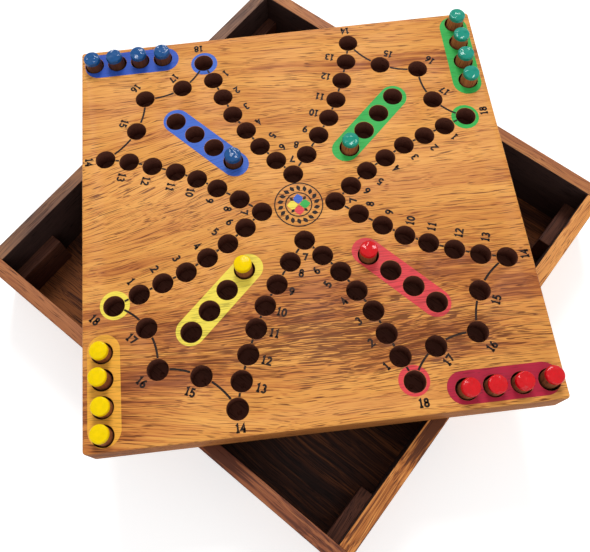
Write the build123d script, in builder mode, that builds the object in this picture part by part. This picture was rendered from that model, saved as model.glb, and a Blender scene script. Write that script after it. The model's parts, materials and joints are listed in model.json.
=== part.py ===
from build123d import *
import os
from math import atan2, cos, degrees, pi, radians, sin

# Travel board game: a hardwood board that is also the lid of its storage box, with turned pegs.
# It stands as it is played: the board lies on the box's rim, turned by an eighth of a turn.
# Millimetres. Origin at the centre of the box's underside, +Z up, X and Y along the box's walls.

# The box
box_side = 217.0
box_height = 41.0
wall = 6.8
panel_thickness = 4.0
rabbet_depth = 3.5          # how far the bottom panel reaches into each wall
box_corner_round = 1.2      # outer upright corners, sanded
box_edge_round = 0.7        # long outer edges of the walls

# The four blocks that the board rests on when it is dropped into the box
block_length = 26.0
block_width = 6.0
block_edge_round = 0.5

# The board
lid_clearance = 0.5         # on each side, between the board and the inside of the box
board_thickness = 17.0
board_corner_round = 1.5
board_edge_bevel = 0.6
board_turn = 45.0           # degrees from the box's X axis
board_shift = (-1.1, 2.6)   # the board isn't laid quite centrally

# The peg holes
hole_diameter = 9.6
hole_depth = 10.0
hole_sides = 20             # a drilled hole is drawn with this many flats, because there are 104 of them

# The track holes of the player at the board's near edge, from the board's centre. The other players'
# are the same, turned. Two curved arms meet at the middle hole, and three holes lie around the corner.
middle_hole = (0.6, -17.3)
start_arm = [
    (7.8, -25.7),
    (14.8, -34.4),
    (20.6, -44.2),
    (26.4, -54.2),
    (30.4, -65.0),
    (34.5, -75.7),
    (38.7, -87.0),
]
exit_arm = [
    (-7.1, -27.1),
    (-14.2, -37.1),
    (-20.4, -46.3),
    (-25.4, -56.3),
    (-29.9, -67.3),
    (-33.7, -78.4),
    (-36.4, -89.8),
]
corner_holes = [(-50.5, -74.3), (-68.9, -69.4), (-73.0, -50.4)]

# Each player's home row, near the diagonal, and parking row, along the edge
row_holes = 4
home_row_first = (28.3, -28.0)
home_row_last = (54.6, -53.6)
parking_row_start = 59.4
parking_row_pitch = 11.72
parking_row_from_edge = 8.6

# The pegs
peg_diameter = 8.0
peg_length = 17.5
peg_tip_diameter = 7.4
peg_tip_height = 2.7        # the painted tip, shoulder and dome
peg_dome_height = 1.1
peg_dome_rings = 3
peg_foot_bevel = 0.5
peg_sides = 16              # and a turned peg with this many
peg_floor_gap = 0.3         # between the foot's centre and the hole's floor, as the peg leans

# How far each player's pegs lean in their loose holes, in degrees along the board's two axes.
# The first four stand in the parking row, from the middle of the edge outwards, and the fifth at home.
players = {
    "red": [(1.6, -1.6), (-0.8, -1.8), (-2.0, -1.6), (1.2, 2.2), (-1.2, 1.0)],
    "yellow": [(0.4, -1.2), (-2.2, 0.8), (1.6, -1.8), (0.2, 0.4), (-1.2, 1.8)],
    "blue": [(1.8, -1.8), (0.6, -1.2), (-1.4, -1.6), (0.6, -2.2), (0.8, -1.2)],
    "green": [(0.8, -0.8), (0.4, -0.2), (1.6, 0.6), (2.2, 1.4), (0.8, 1.6)],
}

# Worked out
opening = box_side - 2 * wall
board_side = opening - 2 * lid_clearance
panel_side = opening + 2 * rabbet_depth
block_height = box_height - board_thickness - panel_thickness
parking_row = board_side / 2 - parking_row_from_edge
turn_x = cos(radians(board_turn))
turn_y = sin(radians(board_turn))
board_plane = Plane(origin=(*board_shift, box_height), x_dir=(turn_x, turn_y, 0), z_dir=(0, 0, 1))
board_top = board_plane.offset(board_thickness)


def write(part, name):
    part.label = name
    export_step(part, f"parts/{name}.step")


def quarter_turned(place, quarters):
    """A place on the board, turned clockwise by that many players."""
    x, y = place
    for _ in range(quarters):
        x, y = y, -x
    return x, y


def home_hole(number):
    share = number / (row_holes - 1)
    return tuple(first + share * (last - first) for first, last in zip(home_row_first, home_row_last))


def parking_hole(number):
    return parking_row_start + number * parking_row_pitch, -parking_row


def player_holes():
    """All the holes of the player at the board's near edge."""
    rows = [home_hole(n) for n in range(row_holes)] + [parking_hole(n) for n in range(row_holes)]
    return [middle_hole] + start_arm + exit_arm + corner_holes + rows


def peg_profile():
    """The turned peg's radius at each height above its foot, with a flat left at the top of the dome."""
    body = peg_diameter / 2
    tip = peg_tip_diameter / 2
    rings = [(0, body - peg_foot_bevel), (peg_foot_bevel, body), (peg_length - peg_tip_height, body)]
    for ring in range(peg_dome_rings):
        rise = radians(90 * ring / peg_dome_rings)
        rings.append((peg_length - peg_dome_height * (1 - sin(rise)), tip * cos(rise)))
    return rings


def turn_peg(place, lean):
    """One turned peg, standing in the hole at that place and leaning with it."""
    lean_x, lean_y = lean
    foot = Location((*place, peg_floor_gap - hole_depth), (-lean_y, lean_x, 0))
    peg_plane = Plane(board_top.location * foot)
    rings = peg_profile()
    with BuildPart() as peg:
        for (low, radius), (high, next_radius) in zip(rings, rings[1:]):
            with BuildSketch(peg_plane.offset(low)):
                RegularPolygon(radius, peg_sides)
            slope = atan2((radius - next_radius) * cos(pi / peg_sides), high - low)
            extrude(amount=high - low, taper=degrees(slope))
    return peg.part


os.makedirs("parts", exist_ok=True)

# The two long walls run the full side of the box, and their ends show at its corners.
for name, side in (("front_wall", -1), ("back_wall", 1)):
    with BuildPart() as long_wall:
        with BuildSketch():
            with Locations((0, side * (box_side - wall) / 2)):
                Rectangle(box_side, wall)
        extrude(amount=box_height)
        outside = long_wall.faces().sort_by(Axis.Y)[-1 if side > 0 else 0]
        fillet(outside.edges().filter_by(Axis.Z), radius=box_corner_round)
        top = long_wall.faces().sort_by(Axis.Z)[-1]
        fillet(top.edges().sort_by(Axis.Y)[-1 if side > 0 else 0], radius=box_edge_round)
        Box(panel_side, panel_side, 2 * panel_thickness, mode=Mode.SUBTRACT)
    write(long_wall.part, name)

# The two short walls are glued between them.
for name, side in (("left_wall", -1), ("right_wall", 1)):
    with BuildPart() as short_wall:
        with BuildSketch():
            with Locations((side * (box_side - wall) / 2, 0)):
                Rectangle(wall, opening)
        extrude(amount=box_height)
        top = short_wall.faces().sort_by(Axis.Z)[-1]
        fillet(top.edges().sort_by(Axis.X)[-1 if side > 0 else 0], radius=box_edge_round)
        Box(panel_side, panel_side, 2 * panel_thickness, mode=Mode.SUBTRACT)
    write(short_wall.part, name)

# The bottom panel lies in a rabbet round the inside of the walls, flush with their undersides.
with BuildPart() as bottom_panel:
    with BuildSketch():
        Rectangle(panel_side, panel_side)
    extrude(amount=panel_thickness)
write(bottom_panel.part, "bottom_panel")

# A rest block stands in each corner against a short wall, and its top is one board's thickness
# below the rim, so that the board lies flush when it is dropped in.
for end, y_side in (("front", -1), ("back", 1)):
    for hand, x_side in (("left", -1), ("right", 1)):
        with BuildPart() as rest_block:
            with BuildSketch(Plane.XY.offset(panel_thickness)):
                with Locations(
                    (x_side * (opening - block_width) / 2, y_side * (opening - block_length) / 2)
                ):
                    Rectangle(block_width, block_length)
            extrude(amount=block_height)
            inner = rest_block.faces().sort_by(Axis.X)[0 if x_side > 0 else -1]
            fillet(inner.edges().sort_by(Axis.Z)[-1], radius=block_edge_round)
        write(rest_block.part, f"rest_block_{end}_{hand}")

# The board is one slab, with a blind hole for every place on the track and in the players' rows.
with BuildPart() as game_board:
    with BuildSketch(board_plane):
        RectangleRounded(board_side, board_side, board_corner_round)
    extrude(amount=board_thickness)
    chamfer(game_board.faces().sort_by(Axis.Z)[-1].edges(), length=board_edge_bevel)
    chamfer(game_board.faces().sort_by(Axis.Z)[0].edges(), length=board_edge_bevel)
    with BuildSketch(board_top):
        for quarters in range(len(players)):
            with Locations(*(quarter_turned(place, quarters) for place in player_holes())):
                RegularPolygon(hole_diameter / 2, hole_sides)
    extrude(amount=-hole_depth, mode=Mode.SUBTRACT)
write(game_board.part, "game_board")

# Each player has five pegs: four in the parking row and one in the innermost hole of the home row.
for quarters, (colour, leans) in enumerate(players.items()):
    places = [parking_hole(n) for n in range(row_holes)] + [home_hole(0)]
    for number, (place, lean) in enumerate(zip(places, leans), start=1):
        write(turn_peg(quarter_turned(place, quarters), lean), f"{colour}_peg_{number}")
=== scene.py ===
import json
import random
from math import atan2, cos, degrees, hypot, pi, radians, sin

import bmesh
import bpy
from mathutils import Matrix, Vector


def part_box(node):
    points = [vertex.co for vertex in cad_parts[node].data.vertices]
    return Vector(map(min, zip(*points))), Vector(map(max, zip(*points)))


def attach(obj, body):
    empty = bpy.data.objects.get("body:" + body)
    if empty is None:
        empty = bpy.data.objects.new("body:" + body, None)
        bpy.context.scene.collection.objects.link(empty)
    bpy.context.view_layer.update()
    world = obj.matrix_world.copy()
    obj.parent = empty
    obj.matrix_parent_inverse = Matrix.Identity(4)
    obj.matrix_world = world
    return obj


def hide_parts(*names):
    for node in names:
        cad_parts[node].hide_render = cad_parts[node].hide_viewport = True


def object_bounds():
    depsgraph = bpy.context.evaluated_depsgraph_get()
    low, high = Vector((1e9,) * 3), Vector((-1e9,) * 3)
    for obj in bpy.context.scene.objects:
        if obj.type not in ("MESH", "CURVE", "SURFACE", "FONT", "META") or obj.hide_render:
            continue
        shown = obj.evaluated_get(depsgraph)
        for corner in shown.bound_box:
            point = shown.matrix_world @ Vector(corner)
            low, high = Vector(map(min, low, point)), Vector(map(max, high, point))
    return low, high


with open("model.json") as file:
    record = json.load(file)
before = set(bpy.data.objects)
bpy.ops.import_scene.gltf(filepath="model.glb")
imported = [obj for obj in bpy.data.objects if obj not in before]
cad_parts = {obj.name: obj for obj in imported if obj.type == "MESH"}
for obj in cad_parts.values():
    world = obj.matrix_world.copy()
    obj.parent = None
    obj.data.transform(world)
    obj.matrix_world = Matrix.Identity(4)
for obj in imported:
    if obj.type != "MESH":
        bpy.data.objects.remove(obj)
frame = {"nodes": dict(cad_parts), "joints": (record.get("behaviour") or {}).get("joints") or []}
cad_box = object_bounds()

# The bottom panel is a square of thin, dark hardwood, let into a rabbet round the walls and flush with
# their undersides. It is oiled and left open-pored, and its grain runs along the front wall.
mm = 0.001                       # Blender's unit is the metre
grain_wander = 9                 # how far the lines of the grain wander, in millimetres
band_share = 0.35                # how far the growth bands move the wood's tone towards the darkest
line_share = 0.2                 # and the finer lines in them
fibre_share = 0.4                # and a fibre
first_stop = 0.1                 # where the lightest tone stands among the growth bands
pore_cover = 0.85                # how much of the pore's own tone a pore shows


def linear(hex_colour):
    """An sRGB hex colour as the linear colour that the shaders take."""
    channels = [int(hex_colour[i:i + 2], 16) / 255 for i in (1, 3, 5)]
    return [c / 12.92 if c <= 0.04045 else ((c + 0.055) / 1.055) ** 2.4 for c in channels] + [1]


def add(material, kind, inputs=None, stops=None, **settings):
    """Adds one node: its settings, its inputs as values or as sockets to link, and a ramp's stops."""
    node = material.node_tree.nodes.new(kind)
    for name, value in settings.items():
        setattr(node, name, value)
    for name, value in (inputs or {}).items():
        if isinstance(value, bpy.types.NodeSocket):
            material.node_tree.links.new(value, node.inputs[name])
        else:
            node.inputs[name].default_value = value
    if stops:
        elements = node.color_ramp.elements
        while len(elements) < len(stops):
            elements.new(1)
        for element, (position, colour) in zip(elements, stops):
            element.position = position
            element.color = linear(colour)
    return node


def new_material(name):
    material = bpy.data.materials.new(name)
    material.use_nodes = True
    material.node_tree.nodes.clear()
    return material


def grain(material, turn=(0, 0, 0), start=(0, 0, 0), bends=(), band=11, streaks=(), crowds=()):
    """Sockets for the tone of the growth bands, the fibres and the pores of hardwood.

    Sizes are in millimetres. The grain runs along X after the turn. A bend of its lines, a streak of
    darker tone and a crowd of pores are each (x, y, half the length, half the width, how much)."""
    place = add(material, "ShaderNodeTexCoord").outputs["Object"]
    place = add(
        material,
        "ShaderNodeMapping",
        {"Vector": place, "Scale": (1 / mm, 1 / mm, 1 / mm), "Rotation": turn, "Location": start},
    ).outputs[0]

    def noise(vector, length, width, detail):
        """The outputs of noise whose blotches are that long and that wide."""
        scaled = add(
            material,
            "ShaderNodeMapping",
            {"Vector": vector, "Scale": (1 / length, 1 / width, 1 / width)},
        )
        return add(
            material,
            "ShaderNodeTexNoise",
            {"Vector": scaled.outputs[0], "Scale": 1.0, "Detail": detail, "Roughness": 0.55},
        ).outputs

    drift = noise(place, length=80, width=30, detail=2.5)["Color"]
    wandering = add(
        material,
        "ShaderNodeVectorMath",
        {0: drift, 1: (0, grain_wander, grain_wander), 2: place},
        operation="MULTIPLY_ADD",
    ).outputs[0]

    def raised(value, spots):
        """The value, raised around the centre of each spot."""
        for x, y, half_length, half_width, share in spots:
            moved = add(
                material,
                "ShaderNodeMapping",
                {
                    "Vector": wandering,
                    "Location": (-x / half_length, -(y + grain_wander / 2) / half_width, 0),
                    "Scale": (1 / half_length, 1 / half_width, 0),
                },
            )
            spot = add(material, "ShaderNodeTexGradient", {0: moved.outputs[0]}, gradient_type="SPHERICAL")
            value = add(
                material,
                "ShaderNodeMath",
                {0: spot.outputs["Fac"], 1: share, 2: value},
                operation="MULTIPLY_ADD",
            ).outputs[0]
        return value

    bent = wandering
    if bends:
        rise = add(material, "ShaderNodeCombineXYZ", {1: raised(0, bends)})
        bent = add(material, "ShaderNodeVectorMath", {0: wandering, 1: rise.outputs[0]}).outputs[0]

    def pattern(length, width, detail=0.0, low=0.3, high=0.7, crowd=None):
        """Blotches along the bent grain, from 0 where the noise is low to 1 where it is high."""
        value = noise(bent, length, width, detail)["Fac"]
        if crowd is not None:
            value = add(material, "ShaderNodeMath", {0: crowd, 1: value}, operation="ADD").outputs[0]
        limits = {"Value": value, "From Min": low, "From Max": high}
        return add(material, "ShaderNodeMapRange", limits).outputs[0]

    # Growth bands, the finer lines in them, and the streaks, which darken those lines most
    bands = pattern(length=210, width=band, detail=2.5)
    lines = pattern(length=70, width=band / 5, detail=2.0)
    fine = add(material, "ShaderNodeMath", {0: lines, 1: line_share}, operation="MULTIPLY")
    plain = add(
        material,
        "ShaderNodeMath",
        {0: bands, 1: band_share, 2: fine.outputs[0]},
        operation="MULTIPLY_ADD",
    )
    depth = add(material, "ShaderNodeMath", {0: lines, 1: 1.2, 2: 0.4}, operation="MULTIPLY_ADD")
    tone = add(
        material,
        "ShaderNodeMath",
        {0: raised(0, streaks), 1: depth.outputs[0], 2: plain.outputs[0]},
        operation="MULTIPLY_ADD",
    ).outputs[0]
    # Real fibres and pores are about 0.1 mm wide. These are drawn coarser, so that they show.
    finest = 0.36
    fibres = pattern(length=22, width=finest, detail=1.0, low=0.5, high=0.7)
    clusters = pattern(length=50, width=7, detail=1.5)
    natural = add(material, "ShaderNodeMath", {0: clusters, 1: 0.06}, operation="MULTIPLY")
    crowd = raised(natural.outputs[0], crowds)
    dashes = pattern(length=11, width=finest, low=0.68, high=0.77, crowd=crowd)
    flecks = pattern(length=7, width=0.8, low=0.84, high=0.9, crowd=crowd)
    pores = add(material, "ShaderNodeMath", {0: dashes, 1: flecks}, operation="MAXIMUM").outputs[0]
    return tone, fibres, pores


def finish_wood(material, colour, fibres, pores, roughness, relief=0.3, mirroring=0.15):
    """The oiled or lacquered surface over the wood's colour, with the pores sunk in it."""
    height = add(material, "ShaderNodeMath", {0: fibres, 1: pores}, operation="SUBTRACT")
    bump = add(
        material,
        "ShaderNodeBump",
        {"Height": height.outputs[0], "Strength": relief, "Distance": 0.1 * mm},
    )
    shader = add(
        material,
        "ShaderNodeBsdfPrincipled",
        {
            "Base Color": colour,
            "Roughness": roughness,
            "IOR": 1.5,
            "Specular IOR Level": mirroring,
            "Normal": bump.outputs[0],
        },
    )
    add(material, "ShaderNodeOutputMaterial", {"Surface": shader.outputs[0]})


def hardwood(name, tones, pore, roughness, relief=0.3, mirroring=0.15, **figure):
    """Hardwood whose bands go through the tones, from light to dark, with darker pores."""
    material = new_material(name)
    tone, fibres, pores = grain(material, **figure)
    mixed = add(material, "ShaderNodeMath", {0: fibres, 1: fibre_share, 2: tone}, operation="MULTIPLY_ADD")
    last = len(tones) - 1
    stops = [(first_stop + (1 - first_stop) * i / last, colour) for i, colour in enumerate(tones)]
    bands = add(material, "ShaderNodeValToRGB", {"Fac": mixed.outputs[0]}, stops)
    sunk = add(material, "ShaderNodeMapRange", {"Value": pores, "To Max": pore_cover})
    colour = add(
        material,
        "ShaderNodeMix",
        {"Factor": sunk.outputs[0], 6: bands.outputs[0], 7: linear(pore)},
        data_type="RGBA",
    )
    finish_wood(material, colour.outputs[2], fibres, pores, roughness, relief, mirroring)
    return material


def softened(node, edge, *materials):
    """A copy of a planed piece of the box, with its sharp edges eased by sanding."""
    mesh = bmesh.new()
    mesh.from_mesh(frame["nodes"][node].data)
    # The solid's triangles become its flat faces again, so that only real edges are eased
    bmesh.ops.remove_doubles(mesh, verts=mesh.verts, dist=1e-6)
    bmesh.ops.dissolve_limit(mesh, angle_limit=radians(1), verts=mesh.verts, edges=mesh.edges)
    data = bpy.data.meshes.new(node + "_wood")
    mesh.to_mesh(data)
    mesh.free()
    for material in materials:
        data.materials.append(material)
    data.polygons.foreach_set("use_smooth", [True] * len(data.polygons))
    piece = bpy.data.objects.new(node + "_wood", data)
    bpy.context.scene.collection.objects.link(piece)
    bevel = piece.modifiers.new("eased edges", "BEVEL")
    bevel.width = edge
    bevel.segments = 3
    bevel.limit_method = "ANGLE"
    bevel.angle_limit = radians(40)
    bevel.harden_normals = True
    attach(piece, "box")
    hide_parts(node)
    return piece


# Oiled and never polished: dark brown with lighter orange growth bands, darkened further with painted shade
# of the box's inside
panel_shade_wood = hardwood(
    "oiled dark hardwood with painted shade",
    ["#9A5A32", "#502C1E", "#321C17", "#211310"],
    pore="#190D0B",
    roughness=0.55,
    start=(40, 15, 0),
    band=7,
    # The first streak is a painted pool of light towards the front left corner, the second is painted shade
    # towards the front right one
    streaks=[(-36, -84, 60, 30, -0.35), (110, -70, 90, 60, 0.25)],
)
panel = softened("bottom_panel", 0.3 * mm, panel_shade_wood)

# The four walls are planed strips of the same hardwood. The long ones run the full side of the box
# and the short ones are glued between them. Their rims are rubbed down and oiled, and each strip has
# its own tone.
least_facing = 0.6               # the cosine of the widest angle at which a face looks to the middle


def upright(face):
    """Whether a face is nearer to upright than to level."""
    return abs(face.normal.z) < 0.5


def line_inside(piece):
    """Gives the faces that look into the box the second material, which carries painted shade."""
    centre = (cad_box[0] + cad_box[1]) / 2
    for face in piece.data.polygons:
        inward = Vector((centre.x - face.center.x, centre.y - face.center.y, 0))
        if upright(face) and face.normal.dot(inward.normalized()) > least_facing:
            face.material_index = 1


along_y = (0, 0, radians(-90))
wall_line = 105.1                # from the box's centre to the middle of a wall
rims = {
    "left_wall": (
        # These tones are greyer than the other walls': partly its own wood, partly a painted sheen on its
        # rim
        ["#A37352", "#84604B", "#6E5144", "#553F36"],
        {
            "turn": along_y,
            "start": (0, -wall_line, 30),
            "streaks": [(-75, 0, 30, 30, 0.5), (80, 0, 40, 30, 0.3)],
        },
    ),
    "back_wall": (
        ["#BC7E4E", "#A96B44", "#945A3C", "#74442F"],
        {"start": (0, -wall_line, 50)},
    ),
    "right_wall": (
        ["#ECA65C", "#DC9450", "#AC6633", "#643822"],
        {
            "turn": along_y,
            "start": (0, wall_line, 70),
            # The second streak is painted shadow of the board on the rim, beside the board's edge
            "streaks": [(-90, 0, 110, 60, 0.5), (-40, 0, 22, 60, 0.6)],
        },
    ),
    "front_wall": (
        ["#B4744A", "#A46741", "#8E5337", "#5E3527"],
        # The second streak is painted shadow of the board on the rim, beside the board's edge
        {"start": (0, wall_line, 20), "streaks": [(95, 0, 120, 60, 0.42), (38, 0, 24, 60, 0.9)]},
    ),
}
# The inside is never rubbed down, and its near-black brown is painted shade of the box's inside
inside = {"tones": ["#46332F", "#382926", "#2B201F"], "pore": "#120808", "roughness": 0.6}
inside_shade_along = hardwood("hardwood with painted shade along", **inside)
inside_shade_across = hardwood("hardwood with painted shade across", **inside, turn=along_y)
for wall, (tones, figure) in rims.items():
    name = "oiled hardwood of the " + wall.replace("_", " ")
    outer = hardwood(name, tones, pore="#4A281C", roughness=0.48, band=6, **figure)
    inner = inside_shade_across if "turn" in figure else inside_shade_along
    piece = softened(wall, 0.4 * mm, outer, inner)
    line_inside(piece)

# The four rest blocks are short offcuts, glued to the short walls in the corners. They carry the board when
# it is dropped in as the lid.
# Their tops are sawn, and their dark brown is painted shade of the box's inside, a little lighter than on
# the walls' inner faces.
block_shade_wood = hardwood(
    "sawn hardwood with painted shade",
    ["#6E4331", "#4E2E25", "#37201B"],
    pore="#1C0E0C",
    roughness=0.65,
    relief=0.5,
    turn=along_y,
    start=(15, 25, 0),
    band=4,
)
for end in ("front", "back"):
    for hand in ("left", "right"):
        block = softened(f"rest_block_{end}_{hand}", 0.4 * mm, block_shade_wood)

# The game board is one slab of golden hardwood, drilled with 104 blind holes, sanded and lacquered
# to a satin sheen. It lies on the rim, turned by an eighth of a turn. Its sizes are in millimetres.
board_turn = radians(45)
board_corner_round = 1.5
board_corner_taper = 0.9         # how much of the edge's inset comes off the corner's radius
board_edge_round = 0.7
board_edge_steps = 4
corner_steps = 6
hole_radius = 4.78
hole_depth = 10.0
hole_rim = 0.15                  # how far a hole's edge is eased by sanding
hole_shoulder = hole_rim * 0.3   # where that eased edge bends, out from the wall and below the top
hole_steps = 40
pit_radius = 1.1                 # the mark that the drill's point leaves in the floor
pit_depth = 1.6
crease = radians(32)             # faces that meet more sharply than this keep a sharp edge
low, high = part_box("game_board")
# The board's rounded corners make its box smaller than the diagonal of its sides by this much
corner_saving = 2 * board_corner_round * (2**0.5 - 1)
board_side = ((high.x - low.x) / mm + corner_saving) / 2**0.5
board_thickness = (high.z - low.z) / mm
board_place = Matrix.Translation(((low.x + high.x) / 2, (low.y + high.y) / 2, high.z))
board_place = board_place @ Matrix.Rotation(board_turn, 4, "Z") @ Matrix.Scale(mm, 4)

# The holes of the first player, from the board's centre. The other players' are the same, turned.
middle_hole = (0.6, -17.3)
start_arm = [
    middle_hole,
    (7.8, -25.7),
    (14.8, -34.4),
    (20.6, -44.2),
    (26.4, -54.2),
    (30.4, -65.0),
    (34.5, -75.7),
    (38.7, -87.0),
]
exit_arm = [
    middle_hole,
    (-7.1, -27.1),
    (-14.2, -37.1),
    (-20.4, -46.3),
    (-25.4, -56.3),
    (-29.9, -67.3),
    (-33.7, -78.4),
    (-36.4, -89.8),
]
corner_holes = [(-50.5, -74.3), (-68.9, -69.4), (-73.0, -50.4)]
row_holes = 4
home_first = (28.3, -28.0)
home_last = (54.6, -53.6)
parking_start = 59.4
parking_pitch = 11.72
parking_in = 92.6
colours = ("red", "yellow", "blue", "green")


def turned(point, quarters):
    """A point of the first player's side of the board, turned to another player's."""
    x, y = point
    for _ in range(quarters):
        x, y = y, -x
    return x, y


def home_hole(number):
    share = number / (row_holes - 1)
    return tuple(first + share * (last - first) for first, last in zip(home_first, home_last))


def parking_hole(number):
    return parking_start + number * parking_pitch, -parking_in


side_holes = start_arm + exit_arm[1:] + corner_holes
side_holes += [home_hole(n) for n in range(row_holes)] + [parking_hole(n) for n in range(row_holes)]
holes = [turned(point, quarters) for quarters in range(len(colours)) for point in side_holes]


def circle(centre, radius, steps=hole_steps, begin=0.0, end=360.0):
    """Points round a circle, or along an arc of it."""
    closed = end - begin == 360
    spaces = steps if closed else steps - 1
    return [
        (
            centre[0] + radius * cos(radians(begin + (end - begin) * i / spaces)),
            centre[1] + radius * sin(radians(begin + (end - begin) * i / spaces)),
        )
        for i in range(steps)
    ]


def rounded_square(half, corner):
    """The points of a square with rounded corners."""
    inner = half - corner
    return [
        point
        for n, (x, y) in enumerate(((1, 1), (-1, 1), (-1, -1), (1, -1)))
        for point in circle((x * inner, y * inner), corner, corner_steps, 90 * n, 90 * n + 90)
    ]


def loop(mesh, points, height):
    return [mesh.verts.new((x, y, height)) for x, y in points]


def skirt(mesh, upper, lower, slot=0):
    """Joins two loops of as many points with a band of faces."""
    for i in range(len(upper)):
        j = (i + 1) % len(upper)
        mesh.faces.new((upper[i], lower[i], lower[j], upper[j])).material_index = slot


def fill(mesh, loops):
    """Fills the space between an outline and the loops inside it with a flat face."""
    edges = []
    for points in loops:
        for i, vertex in enumerate(points):
            pair = (vertex, points[(i + 1) % len(points)])
            edges.append(mesh.edges.get(pair) or mesh.edges.new(pair))
    bmesh.ops.triangle_fill(mesh, use_beauty=True, use_dissolve=False, edges=edges)


def make_piece(name, mesh, materials, body, place, stand=Matrix.Identity(4)):
    """Puts a mesh in its place, and makes it a shown piece that rides on its body."""
    mesh.transform(place)
    bmesh.ops.recalc_face_normals(mesh, faces=mesh.faces)
    data = bpy.data.meshes.new(name)
    mesh.to_mesh(data)
    mesh.free()
    for material in materials:
        data.materials.append(material)
    data.polygons.foreach_set("use_smooth", [True] * len(data.polygons))
    data.set_sharp_from_angle(angle=crease)
    piece = bpy.data.objects.new(name, data)
    bpy.context.scene.collection.objects.link(piece)
    piece.matrix_world = stand
    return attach(piece, body)


drilled, planed = 1, 2           # the material slots after the sanded face's: the holes, dark with painted shade, and the upright edges
slab = bmesh.new()
outlines = []
for step in range(board_edge_steps + 1):
    roll = radians(90 * step / board_edge_steps)
    inset = board_edge_round * (1 - sin(roll))
    outlines.append((inset, -board_edge_round * (1 - cos(roll))))
outlines += [(inset, -board_thickness - drop) for inset, drop in reversed(outlines)]
rings = []
for inset, height in outlines:
    corner = board_corner_round - inset * board_corner_taper
    rings.append(loop(slab, rounded_square(board_side / 2 - inset, corner), height))
for upper, lower in zip(rings, rings[1:]):
    skirt(slab, upper, lower)
slab.faces.new(rings[-1])
mouths = []
for hole in holes:
    mouth = loop(slab, circle(hole, hole_radius + hole_rim), 0)
    shoulder = loop(slab, circle(hole, hole_radius + hole_shoulder), -hole_shoulder)
    lip = loop(slab, circle(hole, hole_radius), -hole_rim)
    root = loop(slab, circle(hole, hole_radius), -hole_depth)
    pit = loop(slab, circle(hole, pit_radius), -hole_depth)
    point = slab.verts.new((*hole, -hole_depth - pit_depth))
    skirt(slab, mouth, shoulder)
    skirt(slab, shoulder, lip)
    skirt(slab, lip, root, drilled)
    skirt(slab, root, pit, drilled)
    for i in range(hole_steps):
        slab.faces.new((pit[i], pit[(i + 1) % hole_steps], point)).material_index = drilled
    mouths.append(mouth)
fill(slab, [rings[0]] + mouths)

# Satin lacquer over golden wood: light bands, redder dark ones, and short dark pores along the grain
board_axes = Matrix.Rotation(-board_turn, 4, "Z")
board_figure = {
    "turn": (0, 0, -board_turn),
    "start": -(board_axes @ board_place.translation) / mm,
    "bends": [
        (-115, 5, 95, 60, 26),
        (-100, -95, 90, 45, -14),
        (110, 75, 150, 50, 10),
    ],
    "streaks": [
        (-15, 79.5, 48, 3.5, 0.3),
        (45, 76, 52, 6, 0.4),
        (90, 73, 36, 10, 0.45),
        (-80, -20, 42, 7, 0.35),
        (0, -58, 125, 36, 0.18),
        (-93, -42, 24, 9, 0.45),
        (-52, -50, 45, 11, 0.3),
        (-65, -71, 40, 14, 0.4),
        (0, -46, 34, 15, 0.28),
        (50, -70, 48, 14, 0.3),
        (60, -38, 36, 11, 0.33),
        (92, -51, 30, 12, 0.38),
        (-92, -88, 38, 26, 0.5),
    ],
    "crowds": [
        (-92, -86, 38, 26, 0.1),
        (0, -56, 130, 40, 0.14),
        (50, -70, 62, 17, 0.2),
        (0, -62, 46, 26, 0.13),
        (-62, -66, 44, 22, 0.08),
        (75, -32, 42, 14, 0.06),
        (-60, 8, 60, 40, 0.05),
    ],
}
board_wood = hardwood(
    "satin lacquered golden hardwood",
    ["#EAA654", "#DD9649", "#C97E3D", "#AC6331", "#8C4B26"],
    pore="#632F15",
    roughness=0.45,
    **board_figure,
)
# The holes' walls and floors: painted shade in the holes, a near-black brown
hole_shade_wood = hardwood("hardwood with painted hole shade", ["#704234", "#523026"], pore="#402319", roughness=0.7)
# The planed edges are duller than the sanded face, and browner: partly their own tone, partly painted shade
# of the upright faces
board_edge_shade_wood = hardwood(
    "edge of golden hardwood with painted shade",
    ["#B4733C", "#9E6232", "#834A27", "#63351D"],
    pore="#4E2615",
    roughness=0.6,
    mirroring=0.05,
    **board_figure,
)
slab.normal_update()
for face in slab.faces:
    centre = face.calc_center_median()
    if upright(face) and max(abs(centre.x), abs(centre.y)) > board_side / 2 - board_edge_round:
        face.material_index = planed
board = make_piece("drilled_board", slab, [board_wood, hole_shade_wood, board_edge_shade_wood], "board", board_place)
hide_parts("game_board")

# The players' bars and start rings are screen printed in four colours before the lacquer. The paint
# is thin, so the grain under it still shows.
print_gap = 0.03                 # from the board up to the colours, and from them up to the ink
bar_height = print_gap
home_bar = ((27.6, -26.1), (54.2, -53.8), 6.6)          # its two centres and its radius
parking_bar = ((58.4, -91.9), (92.2, -91.9), 7.1)
ring_offset = (-0.3, 0.4)                               # from the start hole to its ring's centre
ring_radius = 6.7
print_hole_radius = hole_radius + hole_rim * 0.6        # the paint ends on the hole's eased edge
fibre_wear = 0.35                # the wear of the paint along a fibre, where a pore's is 1
first_wear, full_wear = 0.1, 1.2
worn_cover = 0.75                # how much of the worn tone shows at full wear
worn_shade = 0.7                 # the worn tone's share of the paint's brightness
print_colours = {                # home bar and start ring, and parking bar
    "red": ("#E0474C", "#B5243F"),
    "yellow": ("#F3DC52", "#F5B040"),
    "blue": ("#3E66C4", "#3358BC"),
    "green": ("#35AE4E", "#35AE4E"),
}


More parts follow.
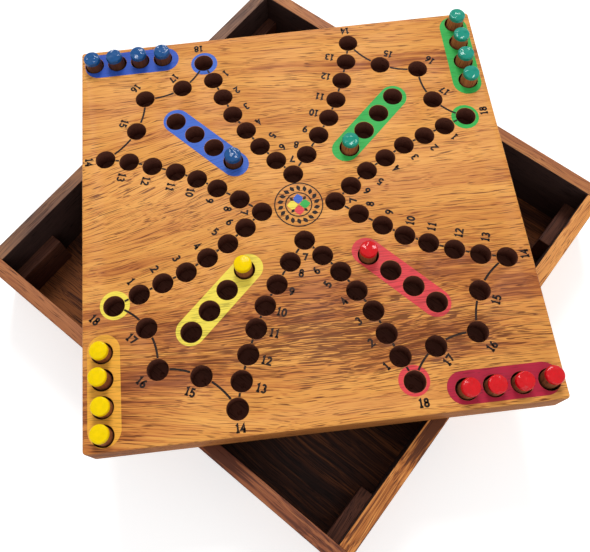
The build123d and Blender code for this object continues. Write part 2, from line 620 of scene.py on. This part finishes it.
def printed(name, paint, worn, roughness=0.42):
    """A thin coat of paint on the board: darker along the fibres, and broken by the pores."""
    material = new_material(name)
    _, fibres, pores = grain(material, **board_figure)
    wear = add(material, "ShaderNodeMath", {0: fibres, 1: fibre_wear, 2: pores}, operation="MULTIPLY_ADD")
    limits = {"From Min": first_wear, "From Max": full_wear, "To Max": worn_cover}
    worn_share = add(material, "ShaderNodeMapRange", {"Value": wear.outputs[0], **limits})
    colour = add(
        material,
        "ShaderNodeMix",
        {"Factor": worn_share.outputs[0], 6: linear(paint), 7: linear(worn)},
        data_type="RGBA",
    )
    finish_wood(material, colour.outputs[2], fibres, pores, roughness)
    return material


def shaded(hex_colour, share):
    """The colour with each of its channels multiplied by the share."""
    return "#" + "".join(f"{int(int(hex_colour[i:i + 2], 16) * share):02X}" for i in (1, 3, 5))


def stadium(start, end, radius):
    """The outline of a bar with round ends."""
    heading = degrees(atan2(end[1] - start[1], end[0] - start[0]))
    half = hole_steps // 2
    return circle(end, radius, half, heading - 90, heading + 90) + circle(
        start, radius, half, heading + 90, heading + 270
    )


def flat_print(name, outline, hole_centres, quarters, material):
    """A printed patch with the holes left out."""
    mesh = bmesh.new()
    loops = [loop(mesh, [turned(p, quarters) for p in outline], bar_height)]
    for centre in hole_centres:
        loops.append(loop(mesh, circle(turned(centre, quarters), print_hole_radius), bar_height))
    fill(mesh, loops)
    for face in mesh.faces:
        if face.normal.z < 0:
            face.normal_flip()
    return make_piece(name, mesh, [material], "board", board_place)


start_hole = start_arm[-1]
ring_centre = (start_hole[0] + ring_offset[0], start_hole[1] + ring_offset[1])
for quarters, colour in enumerate(colours):
    home_paint, parking_paint = print_colours[colour]
    home_print = printed(f"{colour} print", home_paint, shaded(home_paint, worn_shade))
    parking_print = printed(f"{colour} parking print", parking_paint, shaded(parking_paint, worn_shade))
    flat_print(f"{colour}_start_ring", circle(ring_centre, ring_radius), [start_hole], quarters, home_print)
    flat_print(
        f"{colour}_home_bar",
        stadium(*home_bar),
        [home_hole(n) for n in range(row_holes)],
        quarters,
        home_print,
    )
    flat_print(
        f"{colour}_parking_bar",
        stadium(*parking_bar),
        [parking_hole(n) for n in range(row_holes)],
        quarters,
        parking_print,
    )

# The track's lines and the numbers beside its holes are printed in one dark ink, over the colours.
ink_height = 2 * print_gap
line_width = 0.95
line_step = 0.25                 # how closely a line is followed to where it meets a hole
arc_steps = 24
least_mitre = 0.5                # keeps the outer point of a sharp corner short
ink = printed("dark print", "#1C110C", "#36231A", roughness=0.5)


def ribbon(mesh, points, width):
    """A flat line of even width through the points, closed where its last point is its first."""
    closed = hypot(points[0][0] - points[-1][0], points[0][1] - points[-1][1]) < 1e-6
    if closed:
        points = points[:-1]
    left, right = [], []
    count = len(points)
    for i, (x, y) in enumerate(points):
        before = points[i - 1] if i or closed else points[i]
        after = points[(i + 1) % count] if i < count - 1 or closed else points[i]
        into = Vector((x - before[0], y - before[1])).normalized() if before != (x, y) else None
        out = Vector((after[0] - x, after[1] - y)).normalized() if after != (x, y) else None
        along = ((into or out) + (out or into)).normalized()
        reach = width / 2 / max(least_mitre, along.dot(into or out))
        left.append(mesh.verts.new((x - along.y * reach, y + along.x * reach, ink_height)))
        right.append(mesh.verts.new((x + along.y * reach, y - along.x * reach, ink_height)))
    for i in range(count if closed else count - 1):
        j = (i + 1) % count
        mesh.faces.new((right[i], right[j], left[j], left[i]))


def arc_through(a, b, c):
    """Points along the circle through three points, from the first to the last."""
    (ax, ay), (bx, by), (cx, cy) = a, b, c
    d = 2 * (ax * (by - cy) + bx * (cy - ay) + cx * (ay - by))
    aa, bb, cc = ax * ax + ay * ay, bx * bx + by * by, cx * cx + cy * cy
    x = (aa * (by - cy) + bb * (cy - ay) + cc * (ay - by)) / d
    y = (aa * (cx - bx) + bb * (ax - cx) + cc * (bx - ax)) / d
    first = degrees(atan2(ay - y, ax - x))
    sweep = (degrees(atan2(cy - y, cx - x)) - first + 180) % 360 - 180
    return circle((x, y), hypot(ax - x, ay - y), arc_steps, first, first + sweep)


def clear_of_holes(points):
    """The stretches of a line that lie outside every hole."""
    stretches, current = [], []
    for start, end in zip(points, points[1:]):
        pieces = max(1, round(hypot(end[0] - start[0], end[1] - start[1]) / line_step))
        for i in range(pieces):
            share = i / pieces
            point = (start[0] + (end[0] - start[0]) * share, start[1] + (end[1] - start[1]) * share)
            outside = all(hypot(point[0] - x, point[1] - y) > hole_radius + hole_rim for x, y in holes)
            if outside:
                current.append(point)
            elif current:
                stretches.append(current)
                current = []
    return [s for s in stretches if len(s) > 1]


routes = [
    start_arm,
    exit_arm,
    arc_through(exit_arm[-1], corner_holes[0], corner_holes[1]),
    arc_through(corner_holes[1], corner_holes[2], turned(start_hole, 1)),
]
lines = bmesh.new()
for quarters in range(len(colours)):
    for route in routes:
        for stretch in clear_of_holes([turned(p, quarters) for p in route]):
            ribbon(lines, stretch, line_width)
make_piece("track_lines", lines, [ink], "board", board_place)

digit_height = 3.6
digit_stroke = 0.88
digit_width = 0.6                # as a share of its height, as is the next
digit_pitch = 0.66               # from one digit of a number to the next
bow_step = 24                    # about how many degrees lie between two points of a digit's bow
numbers = {                      # where each number stands beside its hole, and its tilt
    1: (27.9, -79.2, 35),
    2: (23.1, -68.3, 30),
    3: (19.2, -58.2, 25),
    4: (14.2, -48.3, 40),
    5: (8.2, -39.7, 45),
    6: (4.0, -32.6, 35),
    7: (-0.15, -25.7, -10),
    8: (-2.75, -33.1, -15),
    9: (-8.1, -41.3, -20),
    10: (-13.6, -50.1, -20),
    11: (-17.7, -59.2, -20),
    12: (-22.4, -70.8, -20),
    13: (-25.8, -82.3, -20),
    14: (-35.9, -97.7, 0),
    15: (-55.7, -80.4, -25),
    16: (-75.9, -73.8, -45),
    17: (-79.7, -54.4, -47),
    18: (40.6, -96.2, 0),
}
yellow_eighteen = (-95.7, -44.0, -45)     # this one alone stands askew


def bow(x, y, half_width, half_height, begin, end):
    """Points along part of an oval of a digit."""
    steps = 2 + round(abs(end - begin) / bow_step)
    angles = [radians(begin + (end - begin) * i / steps) for i in range(steps + 1)]
    return [(x + half_width * cos(a), y + half_height * sin(a)) for a in angles]


six = [bow(0.52, 0.30, 0.43, 0.64, 100, 180), bow(0.31, 0.28, 0.22, 0.24, 0, 360)]
strokes = {
    "0": [bow(0.3, 0.5, 0.23, 0.44, 0, 360)],
    "1": [[(0.13, 0.78), (0.32, 0.94), (0.32, 0.06)], [(0.12, 0.06), (0.52, 0.06)]],
    "2": [bow(0.3, 0.70, 0.21, 0.24, 165, -35) + [(0.08, 0.06), (0.53, 0.06), (0.53, 0.17)]],
    "3": [bow(0.28, 0.73, 0.19, 0.21, 155, -85), bow(0.28, 0.29, 0.23, 0.23, 88, -155)],
    "4": [[(0.4, 0.06), (0.4, 0.94), (0.05, 0.32), (0.56, 0.32)], [(0.25, 0.06), (0.55, 0.06)]],
    "5": [[(0.49, 0.94), (0.14, 0.94), (0.12, 0.53)] + bow(0.28, 0.32, 0.24, 0.26, 125, -150)],
    "6": six,
    "7": [[(0.08, 0.80), (0.08, 0.94), (0.53, 0.94), (0.26, 0.06)]],
    "8": [bow(0.3, 0.73, 0.18, 0.21, 0, 360), bow(0.3, 0.29, 0.22, 0.23, 0, 360)],
    "9": [[(digit_width - x, 1 - y) for x, y in stroke] for stroke in six],
}


def write_number(mesh, number, x, y, tilt):
    """The number's digits, centred on a point and tilted about it."""
    text = str(number)
    width = digit_pitch * (len(text) - 1) + digit_width
    for place, digit in enumerate(text):
        for stroke in strokes[digit]:
            points = []
            for u, v in stroke:
                u = (u + digit_pitch * place - width / 2) * digit_height
                v = (v - 0.5) * digit_height
                points.append(
                    (
                        x + u * cos(radians(tilt)) - v * sin(radians(tilt)),
                        y + u * sin(radians(tilt)) + v * cos(radians(tilt)),
                    )
                )
            ribbon(mesh, points, digit_stroke)


figures = bmesh.new()
for quarters, colour in enumerate(colours):
    for number, (x, y, tilt) in numbers.items():
        x, y = turned((x, y), quarters)
        tilt -= 90 * quarters
        if (colour, number) == ("yellow", 18):
            x, y, tilt = yellow_eighteen
        write_number(figures, number, x, y, tilt)
make_piece("track_numbers", figures, [ink], "board", board_place)

# The rose at the middle is printed with the same inks: two rings with a wreath of leaves between
# them, and a flower of four petals, one in each player's colour, with four dark buds between them.
rose_centre = (0.1, 1.0)
rose_rings = (11.2, 6.1)         # their radii
rose_ring_steps = 72
rose_line = 0.55
leaf_steps = 8
wreath_leaves = 18
wreath_start = 7.2
wreath_slant = radians(28)
wreath_leaf = (3.1, 0.95)        # length and half width, as in the next two
petal = (5.1, 2.2)
petal_start = 0.4
bud = (2.2, 0.7)
bud_start = 3.2
rose = bmesh.new()
for radius in rose_rings:
    ring = circle(rose_centre, radius, rose_ring_steps)
    ribbon(rose, ring + ring[:1], rose_line)


def leaf(mesh, heading, start, length, half_width, slant=0.0):
    """One pointed leaf of the rose, from its start outwards, turned aside by the slant."""
    shares = [i / leaf_steps for i in range(leaf_steps + 1)]
    shape = [(length * share, half_width * sin(pi * share)) for share in shares]
    shape += [(x, -y) for x, y in reversed(shape[1:-1])]
    points = []
    for x, y in shape:
        x, y = start + x * cos(slant) - y * sin(slant), x * sin(slant) + y * cos(slant)
        points.append(
            (
                rose_centre[0] + x * cos(heading) - y * sin(heading),
                rose_centre[1] + x * sin(heading) + y * cos(heading),
            )
        )
    mesh.faces.new(loop(mesh, points, ink_height))


for n in range(wreath_leaves):
    leaf(rose, 2 * pi * n / wreath_leaves, wreath_start, *wreath_leaf, slant=wreath_slant)
for n in range(len(colours)):
    leaf(rose, radians(90 * n + 45), bud_start, *bud)
make_piece("centre_rose", rose, [ink], "board", board_place)
for quarters, colour in enumerate(colours):
    mesh = bmesh.new()
    leaf(mesh, radians(-90 - 90 * quarters), petal_start, *petal)
    make_piece(f"{colour}_rose_petal", mesh, [bpy.data.materials[f"{colour} print"]], "board", board_place)

# The pegs are turned from brown dowel. Each tip is dipped in a glossy enamel of its player's colour,
# and the rest is bare. They stand loose in their holes, so each leans its own way.
random.seed(5)
pegs_each = 5
peg_radius = 4.0
peg_shoulder_drop = 2.6          # from the top down to where the paint starts
peg_drop_spread = 0.25           # how much that differs from peg to peg
peg_paint = 0.05                 # its thickness
peg_crown_round = 0.75           # the rounding of the tip's edge
peg_crown_round_steps = 6
peg_crown_rise = 0.42            # how far the middle of the tip stands above that
peg_crown_rise_steps = 5
peg_foot_round = 0.5
peg_top_wear = 0.2               # how much lower the flat tip is than its solid's dome, to stay in it
peg_steps = 40
rod_spread = 90                  # how far from the middle of the figure a peg's piece of rod may lie
foot_margin = 0.1 * mm           # how far above its lowest point a solid's foot is looked for
ripples_per_mm = 0.3
blotches_per_mm = 0.5
blotch_shade = 0.92
enamels = {                      # each colour, how much it mirrors and how deep its ripples are, in metres
    "red": ("#DC0614", 0.25, 0.0013),
    "yellow": ("#FFD900", 0.08, 0.0002),
    "blue": ("#09508E", 0.28, 0.0013),
    "green": ("#07967F", 0.28, 0.0013),
}
dowel_tones = ("#A0623A", "#8A5030", "#734026")
dowel_pore = "#5E3220"
dowel_shades = {"red": 0.85, "yellow": 0.95, "blue": 0.6, "green": 1.1}     # how much darker or lighter each colour's dowels are


def enamel(name, colour, mirroring, ripple_depth):
    """Thick glossy enamel, a little uneven where the tip was dipped."""
    material = new_material(name)
    place = add(material, "ShaderNodeTexCoord").outputs["Object"]
    ripple = add(
        material,
        "ShaderNodeTexNoise",
        {"Vector": place, "Scale": ripples_per_mm / mm, "Detail": 0.7},
    )
    bump = add(
        material,
        "ShaderNodeBump",
        {"Height": ripple.outputs["Fac"], "Strength": 1.0, "Distance": ripple_depth},
    )
    blotch = add(
        material,
        "ShaderNodeTexNoise",
        {"Vector": place, "Scale": blotches_per_mm / mm, "Detail": 1.0},
    )
    tint = add(
        material,
        "ShaderNodeMix",
        {"Factor": blotch.outputs["Fac"], 6: linear(shaded(colour, blotch_shade)), 7: linear(colour)},
        data_type="RGBA",
    )
    shader = add(
        material,
        "ShaderNodeBsdfPrincipled",
        {
            "Base Color": tint.outputs[2],
            "Roughness": 0.16,
            "IOR": 1.5,
            "Specular IOR Level": mirroring,
            "Normal": bump.outputs[0],
        },
    )
    add(material, "ShaderNodeOutputMaterial", {"Surface": shader.outputs[0]})
    return material


def peg_rings(length, paint_drop):
    """The turned profile as (radius, height, whether the paint covers it), from the foot up."""
    shoulder = length - paint_drop
    rings = [(peg_radius - peg_foot_round, 0, 0), (peg_radius, peg_foot_round, 0)]
    rings += [(peg_radius - peg_paint, shoulder, 0), (peg_radius, shoulder + peg_paint, 1)]
    crown = length - peg_crown_rise - peg_crown_round
    edge = peg_radius - peg_crown_round
    for step in range(peg_crown_round_steps):
        roll = radians(90 * step / peg_crown_round_steps)
        rings.append((edge + peg_crown_round * cos(roll), crown + peg_crown_round * sin(roll), 1))
    for step in range(peg_crown_rise_steps):
        share = step / peg_crown_rise_steps
        rings.append((edge * (1 - share), length - peg_crown_rise * (1 - share) ** 2, 1))
    return rings


axes = {joint["child"]: Vector(joint["axis"]) for joint in frame["joints"]}
for colour in colours:
    paint = enamel(f"{colour} enamel", *enamels[colour])
    for number in range(1, pegs_each + 1):
        name = f"{colour}_peg_{number}"
        # Bare turned dowel, its grain along the peg
        dowel = hardwood(
            f"bare dowel {colour} {number}",
            [shaded(tone, dowel_shades[colour]) for tone in dowel_tones],
            pore=shaded(dowel_pore, dowel_shades[colour]),
            roughness=0.55,
            turn=(0, radians(90), 0),
            start=(random.uniform(-rod_spread, rod_spread), random.uniform(-rod_spread, rod_spread), 0),
            band=5,
        )
        body = name + "_body"
        axis = axes[body].normalized()
        points = [v.co for v in frame["nodes"][name].data.vertices]
        lowest = min(p.dot(axis) for p in points)
        length = (max(p.dot(axis) for p in points) - lowest) / mm - peg_top_wear
        foot_ring = {tuple(round(c, 6) for c in p) for p in points if p.dot(axis) < lowest + foot_margin}
        foot = sum((Vector(p) for p in foot_ring), Vector()) / len(foot_ring)
        peg = bmesh.new()
        paint_drop = peg_shoulder_drop + random.uniform(-peg_drop_spread, peg_drop_spread)
        rings = peg_rings(length, paint_drop)
        loops = [loop(peg, circle((0, 0), radius, peg_steps), height) for radius, height, _ in rings]
        for (upper, lower), (_, _, painted) in zip(zip(loops[1:], loops), rings[1:]):
            skirt(peg, upper, lower, painted)
        peg.faces.new(loops[0])
        top = peg.verts.new((0, 0, length))
        for i in range(peg_steps):
            peg.faces.new((loops[-1][i], loops[-1][(i + 1) % peg_steps], top)).material_index = 1
        turn = Vector((0, 0, 1)).rotation_difference(axis).to_matrix().to_4x4()
        spin = Matrix.Rotation(random.uniform(0, 2 * pi), 4, "Z")
        stand = Matrix.Translation(foot) @ turn @ spin
        piece = make_piece(name + "_turned", peg, [dowel, paint], body, Matrix.Scale(mm, 4), stand)
        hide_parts(name)

# The stage is a matt white table under soft daylight, with a window lamp and a weak lamp opposite.
# The camera sees the table and the sky brighter than they light the object.
table_side = 6.0                 # in metres, as are the places of the lamps and the camera
table_data = bpy.data.meshes.new("table")
half = table_side / 2
table_corners = [(-half, -half, 0), (half, -half, 0), (half, half, 0), (-half, half, 0)]
table_data.from_pydata(table_corners, [], [(0, 1, 2, 3)])
table = bpy.data.objects.new("table", table_data)
bpy.context.scene.collection.objects.link(table)


def seen_strength(material, unseen, seen):
    """One strength for what the camera sees, plainly or in gloss and glass, and one for all else."""
    rays = add(material, "ShaderNodeLightPath").outputs
    shown = rays["Is Camera Ray"]
    for ray in ("Is Glossy Ray", "Is Transmission Ray"):
        shown = add(material, "ShaderNodeMath", {0: shown, 1: rays[ray]}, operation="MAXIMUM").outputs[0]
    strengths = {"Value": shown, "To Min": unseen, "To Max": seen}
    return add(material, "ShaderNodeMapRange", strengths).outputs[0]


table_top = new_material("matt white table")
matt = add(table_top, "ShaderNodeBsdfDiffuse", {"Color": (0.8, 0.8, 0.8, 1)})
glow = seen_strength(table_top, unseen=0, seen=0.5)
light = add(table_top, "ShaderNodeEmission", {"Color": (1, 1, 1, 1), "Strength": glow})
both = add(table_top, "ShaderNodeAddShader", {0: matt.outputs[0], 1: light.outputs[0]})
add(table_top, "ShaderNodeOutputMaterial", {"Surface": both.outputs[0]})
table_data.materials.append(table_top)

world = bpy.data.worlds.new("daylight")
bpy.context.scene.world = world
world.use_nodes = True
world.node_tree.nodes.clear()
daylight = seen_strength(world, unseen=0.6, seen=1)
sky = add(world, "ShaderNodeBackground", {"Color": (1, 1, 1, 1), "Strength": daylight})
add(world, "ShaderNodeOutputWorld", {"Surface": sky.outputs[0]})


lamp_target = Vector((0, 0, 0.05))          # near the middle of the object


def lamp(name, place, size, power):
    """A soft square lamp that faces the object."""
    data = bpy.data.lights.new(name, "AREA")
    data.size = size
    data.energy = power
    made = bpy.data.objects.new(name, data)
    bpy.context.scene.collection.objects.link(made)
    made.location = place
    made.rotation_euler = (lamp_target - Vector(place)).to_track_quat("-Z", "Y").to_euler()


lamp("window", place=(-0.7, 0.85, 1.4), size=0.5, power=15)
lamp("fill", place=(0.9, -0.7, 0.9), size=0.8, power=3)

# The camera looks down over the near corner of the box, from where the photograph was taken.
camera_data = bpy.data.cameras.new("camera")
camera_data.lens = 42.18
camera_data.sensor_width = 36
camera_data.shift_x = 0.0210
camera_data.shift_y = -0.0412
camera = bpy.data.objects.new("camera", camera_data)
bpy.context.scene.collection.objects.link(camera)
camera.location = (0.08735, -0.10811, 0.34832)
camera.rotation_euler = (radians(22.274), radians(1.471), radians(38.655))
bpy.context.scene.camera = camera
bpy.context.scene.view_settings.view_transform = "Standard"
